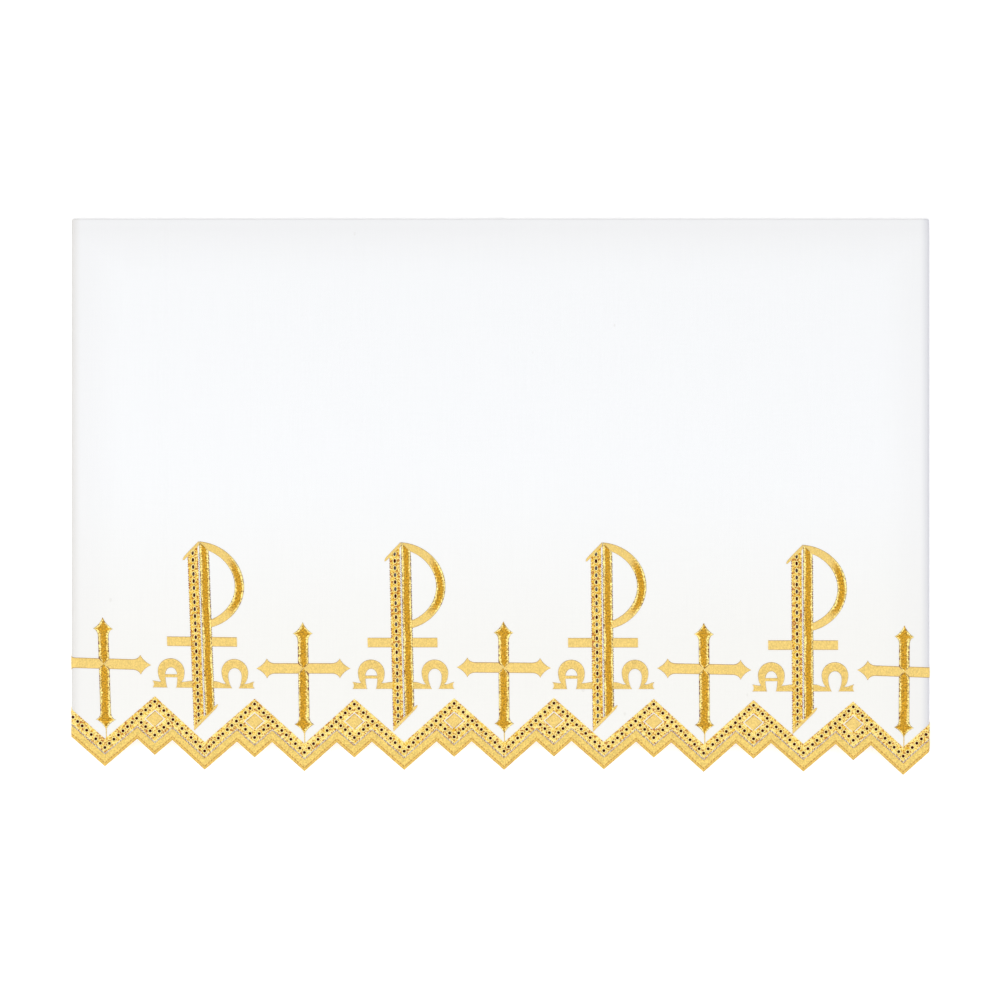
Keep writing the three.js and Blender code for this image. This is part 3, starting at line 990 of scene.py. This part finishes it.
class ALTARCLOTH_OT_linen(bpy.types.Operator):
    """Make the linen: one sheet with its toothed hem, pierced at the eyelets and folded"""

    bl_idname = "altar_cloth.linen"
    bl_label = "Linen"

    def execute(self, context):
        settings = context.scene.altar_cloth
        half = settings.linen.thickness / MM / 2
        border_radius = settings.gold.hole_radius / MM + LINEN_CUT
        stem_radius = settings.gold.stem_hole_radius / MM + LINEN_CUT
        us, vs = linen_columns(), linen_rows()
        bm = new_bm()
        for vert, (column, row, is_above) in slabs(bm, len(us), len(vs) + 1).items():
            u = us[column]
            vert.co = (u, hem(u) if row == 0 else vs[row - 1], half if is_above else -half)
        bmesh.ops.recalc_face_normals(bm, faces=bm.faces)
        cutter = bmesh.new()
        for u, v in border_holes():
            upright(cutter, (u, v, 0), border_radius, 1, CUTTER_DEPTH)
        for k in MONOGRAMS:
            for u, v in stem_holes(k):
                upright(cutter, (u, v, 0), stem_radius, STEM_HOLE_TALL, CUTTER_DEPTH)
        bm = cut_holes(new_object("linen_sheet", bm), new_object("linen_cutter", cutter))
        linen = add_piece("linen", bm, half, linen_material(settings.linen))
        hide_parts("cloth")
        length, width = 2 * U_END * MM, (V_END - LOWEST) * MM
        2 * U_END * (V_END - BACK_HEM) * MM * MM
        return {"FINISHED"}


class ALTARCLOTH_OT_edge_strip(bpy.types.Operator):
    """Make the gold strip along the toothed hem"""

    bl_idname = "altar_cloth.edge_strip"
    bl_label = "Edge strip"

    def execute(self, context):
        settings = context.scene.altar_cloth
        surface, base, edge, crest, _ = relief(context)
        us = strip_columns()
        lengths = [0.0]
        for before, after in zip(us, us[1:]):
            lengths.append(lengths[-1] + math.hypot(after - before, hem(after) - hem(before)))
        at = dict(zip(lengths, us))
        half = EDGE_TOP / 2
        rows = [(along, half, 0.0) for along in lengths]
        bm = new_bm()
        stroke(bm, rows, lambda along, out: (at[along], hem(at[along]) + half + out), (base, edge, crest))
        strip = add_piece("edge_strip_satin", bm, surface, edge_material(settings.gold))
        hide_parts("edge_strip")
        return {"FINISHED"}


def diamond_slot(u):
    """The slot round a diamond's square, open where the square's bottom corner joins the strip."""
    d = DIAMOND
    y = d["level"] - dip_at(u)
    turns = []
    for half, way in ((d["outer"], 1), (d["inner"], -1)):
        low = y - (half - d["bridge"]) * SLOPE
        corners = [(u + d["bridge"], low), (u + half, y), (u, y + half * SLOPE), (u - half, y)]
        turns += [*corners, (u - d["bridge"], low)][::way]
    return turns


class ALTARCLOTH_OT_eyelet_strip(bpy.types.Operator):
    """Make the ground of the eyelet strip, pierced at its eyelets, and the squares in it"""

    bl_idname = "altar_cloth.eyelet_strip"
    bl_label = "Eyelet strip"

    def execute(self, context):
        settings = context.scene.altar_cloth
        surface, base, edge, crest, _ = relief(context)
        us = strip_columns()
        low = [(u, hem(u) + EYELET_BOTTOM) for u in us]
        high = [(u, peaks(u)) for u in reversed(us)]
        middles = [FIRST_POINT + (k + 0.5) * PITCH for k in range(POINTS - 1)]
        bm = new_bm()
        radius = settings.gold.hole_radius / MM + GROUND_CUT
        slots = [diamond_slot(u) for u in middles]
        pierced_plate(bm, [*low, *high], slots, border_holes(), radius, 1, base, edge + GROUND_CREST)
        lace = shared("Gold lace ground", context)
        ground = add_piece("eyelet_ground", bm, surface, lace)
        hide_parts("eyelet_strip")
        bm = new_bm()
        half = DIAMOND["inner"] - 0.5
        for u in middles:
            level = DIAMOND["level"] - dip_at(u)

            def place(along, out):
                return u + (along + out) * half / 2, level + (along - out) * half * SLOPE / 2

            rows = [(s, 1.0, 0.0) for s in (-1, -0.6, -0.2, 0.2, 0.6, 1)]
            stroke(bm, rows, place, (base, edge + 0.2, crest + 0.15), length=half * 0.7)
        satin = shared("Gold satin stitch", context)
        squares = add_piece("diamond_squares", bm, surface, satin)
        return {"FINISHED"}


def ring_shape(hole, width, tall, surface):
    """A ring of thread round an eyelet, with a neck down through the linen. Tall is height over width."""
    bm = new_bm()
    stitch = bm.verts.layers.float_vector["stitch"]
    section = [(0, -surface + BASE)]
    section += [(width * i / 2, surface + height) for i, height in enumerate(RING_HEIGHTS)]
    verts = [bm.verts.new((hole + r, 0, n)) for r, n in section]
    edges = [bm.edges.new((verts[i - 1], verts[i])) for i in range(len(verts))]
    outline = [*verts, *edges]
    bmesh.ops.spin(bm, geom=outline, axis=(0, 0, 1), angle=TURN, steps=RING_STEPS, use_merge=True)
    for vert in bm.verts:
        r = math.hypot(vert.co.x, vert.co.y)
        turn = math.atan2(vert.co.y, vert.co.x)
        outward = (r - hole) / width
        vert[stitch] = (abs(turn) * hole * RING_CROWDING * MM, outward, 0)
        vert.co.y *= lerp(tall, 1 + (tall - 1) * hole / (hole + width), outward)
    bmesh.ops.recalc_face_normals(bm, faces=bm.faces)
    return bm


def repeated(shape, places):
    """A mesh with a copy of the shape at each place, given as (u, v) or as (u, v, turn)."""
    mesh = bpy.data.meshes.new("shape")
    shape.to_mesh(mesh)
    shape.free()
    bm = new_bm()
    count = len(mesh.vertices)
    for u, v, *turn in places:
        bm.from_mesh(mesh)
        bm.verts.ensure_lookup_table()
        added = bm.verts[-count:]
        if turn:
            bmesh.ops.rotate(bm, verts=added, matrix=Matrix.Rotation(turn[0], 3, "Z"))
        bmesh.ops.translate(bm, verts=added, vec=(u, v, 0))
    bpy.data.meshes.remove(mesh)
    return bm


class ALTARCLOTH_OT_eyelets(bpy.types.Operator):
    """Make the eyelets: a ring of thread round each, and a dark disc under it as painted shade"""

    bl_idname = "altar_cloth.eyelets"
    bl_label = "Eyelets"

    def execute(self, context):
        settings = context.scene.altar_cloth
        gold = settings.gold
        surface = relief(context)[0]
        dark = dark_material(gold)
        thread = ring_material(gold)
        groups = [("border", list(border_holes()), gold.hole_radius / MM, 1.0, 0.0)]
        for number, k in enumerate(MONOGRAMS, 1):
            label, holes, grey = f"monogram_{number}", list(stem_holes(k)), HANG[k].detail
            groups.append((label, holes, gold.stem_hole_radius / MM, STEM_HOLE_TALL, grey))
        for label, holes, radius, tall, tone in groups:
            bm = repeated(ring_shape(radius, gold.ring_width / MM, tall, surface), holes)
            rings = add_piece(f"{label}_rings", bm, surface, thread, sharp=80)
            bm = new_bm()
            # A dark disc under each opening as painted shade
            stitch = bm.verts.layers.float_vector["stitch"]
            for i, (u, v) in enumerate(holes):
                made = upright(bm, (u, v, -surface - SHADE_DEPTH), radius + SHADE_OVER, tall, SHADE_DEPTH)
                for vert in made["verts"]:
                    vert[stitch] = (0, (i * SHADE_SPREAD) % 1, tone)
            shades = add_piece(f"{label}_eyelet_shades", bm, surface, dark)
        return {"FINISHED"}


def border_flecks():
    """Middles and turns of the dark flecks along both edges of the gap between the two strips."""
    u, i = STRIP_FROM + 1, 0
    while u < STRIP_TO - 1:
        slope = math.atan2(hem(u + 0.5) - hem(u - 0.5), 1)
        for level in (EDGE_TOP + FLECK_INSET, EYELET_BOTTOM - FLECK_INSET):
            yield u + FLECK_SWAY * math.sin(i * 2.4 + level), hem(u) + level, slope
        u += (FALLING_PITCH if slope < 0 else RISING_PITCH) + FLECK_SWAY * math.sin(i * 1.7)
        i += 1


def stem_flecks(k):
    """Middles and turns of the dark flecks along the bands of monogram k."""
    place = hung(k)
    for x in (STEM_LEFT - 0.3, SLOT_LEFT + 0.4, SLOT_RIGHT - 0.4, STEM_RIGHT + 0.3):
        y, i = on_line(x, FOOT, HEEL) + 7, 0
        while y < APEX[1] - 14:
            yield *place(x, y), math.pi / 2 + HANG[k].lean
            y += STEM_PITCH + STEM_SWAY * math.sin(i * 2.1 + x)
            i += 1


class ALTARCLOTH_OT_flecks(bpy.types.Operator):
    """Make the dark flecks where the needle went in along the edges of the strips and bands, needle marks
    darkened with painted shade
    """

    bl_idname = "altar_cloth.flecks"
    bl_label = "Needle flecks"

    def execute(self, context):
        settings = context.scene.altar_cloth
        surface = relief(context)[0]
        groups = [("border", list(border_flecks()))]
        groups += [(f"monogram_{number}", list(stem_flecks(k))) for number, k in enumerate(MONOGRAMS, 1)]
        dark = fleck_material(settings.gold)
        for label, places in groups:
            shape = new_bm()
            bmesh.ops.create_cube(shape, size=1, matrix=moved((0, 0, surface), FLECK))
            bm = repeated(shape, places)
            flecks = add_piece(f"{label}_flecks", bm, surface, dark)
        return {"FINISHED"}


def curve_points(start, control, end, steps=6):
    """Points on a quadratic curve, without its start."""
    shares = [i / steps for i in range(1, steps + 1)]
    return [part_way(part_way(start, control, t), part_way(control, end, t), t) for t in shares]


def arm_rows(begin, half, wide, neck, head, tip, tone):
    """Rows of a cross's arm: mitred at the middle, straight to the neck, then a head with hollow sides."""
    rows = [(0, 0), (begin * 0.5, half * 0.5), (begin, half)]
    steps = max(2, round((neck - begin) / 9))
    rows += [(lerp(begin, neck, i / steps), half) for i in range(1, steps + 1)]
    rows += curve_points((neck, half), (lerp(head, neck, 0.25), 1.1 * half), (head, wide))
    rows += curve_points((head, wide), (lerp(head, tip, 0.3), 0.35 * wide), (tip, 0))
    return [(along, out, tone) for along, out in rows]


def arm_place(k, turns):
    """Where the points of a cross's arm lie. Arm 0 points down, and each next one a quarter turn on."""
    place, angle = hung(k), turns * math.pi / 2
    return lambda along, out: place(
        along * math.sin(angle) + out * math.cos(angle),
        CROSS["bar"] - along * math.cos(angle) + out * math.sin(angle),
    )


class ALTARCLOTH_OT_crosses(bpy.types.Operator):
    """Make the crosses: four padded arms each, and the thread below"""

    bl_idname = "altar_cloth.crosses"
    bl_label = "Crosses"

    def execute(self, context):
        settings = context.scene.altar_cloth
        surface, base, edge, crest, padded = relief(context)
        satin = shared("Gold satin stitch", context)
        c = CROSS
        level = (c["half"], c["bar_half"], c["bar_head"], c["arm_neck"], c["arm_head"], c["arm_tip"], 0.0)
        down = (c["bar_half"], c["half"], c["head"], c["bar"] - c["low_neck"], c["bar"] - c["low_head"],
                c["bar"] - c["bottom"], 1.0)
        up = (c["bar_half"], c["half"], c["head"], c["high_neck"] - c["bar"], c["high_head"] - c["bar"],
              c["top"] - c["bar"], 1.0)
        for number, k in enumerate(CROSSES, 1):
            low_roll, high_roll = HANG[k].detail
            bm = new_bm()
            for turns, arm in enumerate((down, level, up, level)):
                top = crest + 0.1 if turns % 2 else padded
                roll = (low_roll, 0.0, -high_roll, 0.0)[turns]
                stroke(bm, arm_rows(*arm), arm_place(k, turns), (base, edge, top), roll=roll)
            thread = [(s, 0.55, 0.0) for s in (c["bottom"] + 3, c["bottom"] - 6, VALLEY + 0.5)]
            place = hung(k)
            thin = (base, edge - 0.15, edge)
            stroke(bm, thread, lambda along, out: place(out, along), thin, across=(-1, 0, 1))
            cross = add_piece(f"cross_{number}_satin", bm, surface, satin)
            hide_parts(f"cross_{number}")
        return {"FINISHED"}


def on_line(x, start, end):
    """Height at x of the line through two points."""
    return start[1] + (x - start[0]) * (end[1] - start[1]) / (end[0] - start[0])


def loop_place(place):
    """Where the points of the loop lie, between its two arcs. It starts in a mitre at the apex."""
    arcs = []
    for oval, start in ((LOOP_IN, STEM_RIGHT), (LOOP_OUT, SLOT_RIGHT)):
        first, last = (math.acos((x - oval["centre"]) / oval["x"]) for x in (start, STEM_RIGHT - 0.5))
        arcs.append((oval, first, -last))

    def at(along, out):
        spots = []
        for oval, first, last in arcs:
            angle = lerp(first, last, along)
            x = oval["centre"] + oval["x"] * math.cos(angle)
            spots.append((x, LOOP_LEVEL + oval["y"] * math.sin(angle)))
        return place(*part_way(*spots, (out + 1) / 2))

    return at


def monogram_strokes(bm, place, base, edge, crest, padded):
    """The satin strokes of a monogram: padded band, loop, bar and caps."""

    def band(along, out):
        x = (SLOT_RIGHT + STEM_RIGHT) / 2 + out
        low = on_line(x, FOOT, HEEL) + CAP * 0.6
        high = APEX[1] - 0.8 - (x - SLOT_RIGHT)
        return place(x, lerp(low, high, along))

    half = (STEM_RIGHT - SLOT_RIGHT) / 2
    stroke(bm, even_rows(24, half, 1.0), band, (base, edge, padded), length=BAND_LENGTH)
    turn = loop_place(place)
    loop_rows = []
    for along, half, _ in even_rows(40, 1.0, 0.0):
        # The loop's painted shade is deepest where it runs up and down
        facing = math.cos(lerp(*LOOP_TURN, along) - LOOP_DEEP)
        loop_rows.append((along, half, smooth((facing - 0.7) / 0.22)))
    stroke(bm, loop_rows, turn, (base, edge, padded - 0.1), length=LOOP_LENGTH)
    for x0, x1 in ((-BAR_REACH, STEM_LEFT), (STEM_RIGHT, BAR_REACH)):
        rows = [(lerp(x0, x1, i / 6), BAR_HALF, 0.0) for i in range(7)]
        stroke(bm, rows, lambda along, out: place(along, BAR_LEVEL + out), (base, edge, crest))
    tapered = [(0, 0.3, 0.0), (0.08, 0.8, 0.0), (0.5, 1, 0.0), (1, 1, 0.0)]
    for start, end, side in ((SPIKE, APEX, -1), (HEEL, FOOT, 1)):
        def cap(along, out):
            x, y = part_way(start, end, along)
            return place(x, y + side * CAP * 0.5 * (1 - out))

        stroke(bm, tapered, cap, (base, edge, crest), length=CAP_LENGTH, across=(-1, -0.8, 0, 0.8, 1))


class ALTARCLOTH_OT_monograms(bpy.types.Operator):
    """Make the monograms: a pierced band of eyelet ground, a padded band, a loop, a bar and caps"""

    bl_idname = "altar_cloth.monograms"
    bl_label = "Monograms"

    def execute(self, context):
        settings = context.scene.altar_cloth
        surface, base, edge, crest, padded = relief(context)
        satin = shared("Gold satin stitch", context)
        lace = shared("Gold lace ground", context)
        radius = settings.gold.stem_hole_radius / MM + GROUND_CUT
        for number, k in enumerate(MONOGRAMS, 1):
            place = hung(k)
            bm = new_bm()
            monogram_strokes(bm, place, base, edge, crest, padded)
            strokes = add_piece(f"monogram_{number}_satin", bm, surface, satin)
            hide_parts(f"monogram_{number}")
            bm = new_bm()
            corners = [
                (STEM_LEFT, on_line(STEM_LEFT, FOOT, HEEL) + 1),
                (SLOT_LEFT, on_line(SLOT_LEFT, FOOT, HEEL) + 1),
                (SLOT_LEFT, on_line(SLOT_LEFT, SPIKE, APEX) - 1),
                (STEM_LEFT, on_line(STEM_LEFT, SPIKE, APEX) - 1),
            ]
            outline = [place(*corner) for corner in corners]
            pierced_plate(bm, outline, [], stem_holes(k), radius, STEM_HOLE_TALL, base, edge + GROUND_CREST)
            ground = add_piece(f"monogram_{number}_ground", bm, surface, lace)
            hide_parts(f"monogram_{number}")
        return {"FINISHED"}


def shoe_spots(letter, along):
    """A point on the inner and one on the outer edge of a letter's horseshoe. Along runs from 0 to 1."""
    pinch_x, pinch_y = letter["pinch"]
    last = math.atan2(pinch_x, pinch_y - SHOE["centre"])
    side = math.copysign(1, along - 0.5)
    angle = abs(along - 0.5) * 2 * last
    flare = smooth((angle - SHOE_FLARE) / (last - SHOE_FLARE))
    reach = lerp(SHOE["out"], math.hypot(pinch_x, pinch_y - SHOE["centre"]), flare)
    outer = (side * reach * math.sin(angle), SHOE["centre"] + reach * math.cos(angle))
    past = max(0.0, (angle - math.pi / 2) / (last - math.pi / 2))
    x = letter["half"] * math.sin(min(angle, math.pi / 2)) - (letter["half"] - letter["gap"]) * past ** 2
    y = SHOE["rise"] * (1 - past) + SHOE["crown"] * math.cos(min(angle, math.pi / 2))
    return (side * x, y), outer


def foot_top(letter, x):
    """Height of the upper edge of a letter's foot."""
    pinch_x, pinch_y = letter["pinch"]
    if x < pinch_x:
        return max(0.1, pinch_y * (x - letter["gap"]) / (pinch_x - letter["gap"]))
    rise = smooth((x - pinch_x - 1) / (FOOT_TIP["reach"] - pinch_x)) * (FOOT_TIP["spur"] - pinch_y)
    return pinch_y - 0.4 * smooth(x - pinch_x) + rise


class ALTARCLOTH_OT_letters(bpy.types.Operator):
    """Make the alpha and the omega beside each monogram"""

    bl_idname = "altar_cloth.letters"
    bl_label = "Alpha and omega"

    def execute(self, context):
        settings = context.scene.altar_cloth
        surface, base, edge, crest, _ = relief(context)
        satin = shared("Gold satin stitch", context)
        heights = (base, edge + 0.1, crest)
        for number, k in enumerate(MONOGRAMS, 1):
            hang = hung(k)
            for letter in LETTERS:
                bm = new_bm()

                def place(x, y):
                    return hang(letter["middle"] + x, LETTER_LEVEL + y)

                def shoe(along, out):
                    return place(*part_way(*shoe_spots(letter, along), (out + 1) / 2))

                stroke(bm, even_rows(36, 1.0, LETTER_TONE), shoe, heights, length=SHOE_LENGTH)
                for side in (-1, 1):
                    reach, notched = FOOT_TIP["reach"], FOOT_TIP["notch"]
                    if side * letter["middle"] < 0:
                        stem_edge = STEM_LEFT if side > 0 else STEM_RIGHT
                        reach, notched = abs(letter["middle"] - stem_edge), 0.0

                    def foot(along, out):
                        x = lerp(letter["gap"] - 0.5, reach, along)
                        notch = notched * (1 - out * out) * smooth((x - FOOT_TIP["neck"]) / 5)
                        return place(side * (x - notch), foot_top(letter, x) * (out + 1) / 2)

                    stroke(bm, even_rows(12, 1.0, LETTER_TONE), foot, heights, length=reach)
                if letter["bar"]:
                    low, high = letter["bar"]
                    reach = letter["half"] + 1
                    rows = [(x, (high - low) / 2, LETTER_TONE) for x in (-reach, 0, reach)]
                    stroke(bm, rows, lambda along, out: place(along, (low + high) / 2 + out), heights)
                piece = add_piece(f"{letter['name']}_{number}", bm, surface, satin)
        return {"FINISHED"}


def area_light(name, place, target, size, power):
    data = bpy.data.lights.new(name, "AREA")
    data.shape = "DISK"
    data.size = size
    data.energy = power
    lamp = bpy.data.objects.new(name, data)
    lamp.location = place
    lamp.rotation_euler = (Vector(target) - Vector(place)).to_track_quat("-Z", "Y").to_euler()
    bpy.context.collection.objects.link(lamp)


class ALTARCLOTH_OT_stage(bpy.types.Operator):
    """Make the floor, the lights and the camera straight above the cloth"""

    bl_idname = "altar_cloth.stage"
    bl_label = "Stage"

    def execute(self, context):
        settings = context.scene.altar_cloth.stage
        bm = bmesh.new()
        bmesh.ops.create_grid(bm, x_segments=1, y_segments=1, size=20)
        floor = new_object("floor", bm)
        floor.data.materials.append(floor_material(settings))
        world = bpy.data.worlds.new("Even light")
        world.use_nodes = True
        world.node_tree.nodes["Background"].inputs["Color"].default_value = (1, 1, 1, 1)
        world.node_tree.nodes["Background"].inputs["Strength"].default_value = settings.sky
        context.scene.world = world
        area_light("key", (-0.25, -1.4, 3.55), (0, 0, 0), 2.2, settings.key)
        for name, x in (("left", -3.2), ("right", 3.2)):
            area_light(name, (x, 0.3, 1.9), (0, 0, 0), 1.6, settings.side)
        data = bpy.data.cameras.new("camera")
        data.lens = settings.lens
        data.sensor_width = 36
        camera = bpy.data.objects.new("camera", data)
        away = settings.frame_width * settings.lens / data.sensor_width
        camera.location = (settings.camera_x, settings.camera_y, HIGH.z + away)
        context.collection.objects.link(camera)
        context.scene.camera = camera
        context.scene.view_settings.view_transform = "Standard"
        return {"FINISHED"}


class ALTARCLOTH_PT_sidebar(bpy.types.Panel):
    """Buttons for the pieces and the stage, and their settings"""

    bl_label = "Altar cloth"
    bl_idname = "ALTARCLOTH_PT_sidebar"
    bl_space_type = "VIEW_3D"
    bl_region_type = "UI"
    bl_category = "Altar cloth"

    def draw(self, context):
        column = self.layout.column(align=True)
        for step in STEPS:
            column.operator(step.bl_idname)
        settings = context.scene.altar_cloth
        for group in (settings.linen, settings.gold, settings.stage):
            box = self.layout.box()
            for name in group.__annotations__:
                box.prop(group, name)


STEPS = (
    ALTARCLOTH_OT_linen,
    ALTARCLOTH_OT_edge_strip,
    ALTARCLOTH_OT_eyelet_strip,
    ALTARCLOTH_OT_eyelets,
    ALTARCLOTH_OT_flecks,
    ALTARCLOTH_OT_crosses,
    ALTARCLOTH_OT_monograms,
    ALTARCLOTH_OT_letters,
    ALTARCLOTH_OT_stage,
)
CLASSES = (LinenSettings, GoldSettings, StageSettings, AltarClothSettings, *STEPS, ALTARCLOTH_PT_sidebar)


def register():
    for cls in CLASSES:
        bpy.utils.register_class(cls)
    bpy.types.Scene.altar_cloth = bpy.props.PointerProperty(type=AltarClothSettings)


def unregister():
    del bpy.types.Scene.altar_cloth
    for cls in reversed(CLASSES):
        bpy.utils.unregister_class(cls)


def main():
    register()
    bpy.ops.altar_cloth.linen()
    bpy.ops.altar_cloth.edge_strip()
    bpy.ops.altar_cloth.eyelet_strip()
    bpy.ops.altar_cloth.eyelets()
    bpy.ops.altar_cloth.flecks()
    bpy.ops.altar_cloth.crosses()
    bpy.ops.altar_cloth.monograms()
    bpy.ops.altar_cloth.letters()
    bpy.ops.altar_cloth.stage()


if __name__ == "__main__":
    main()
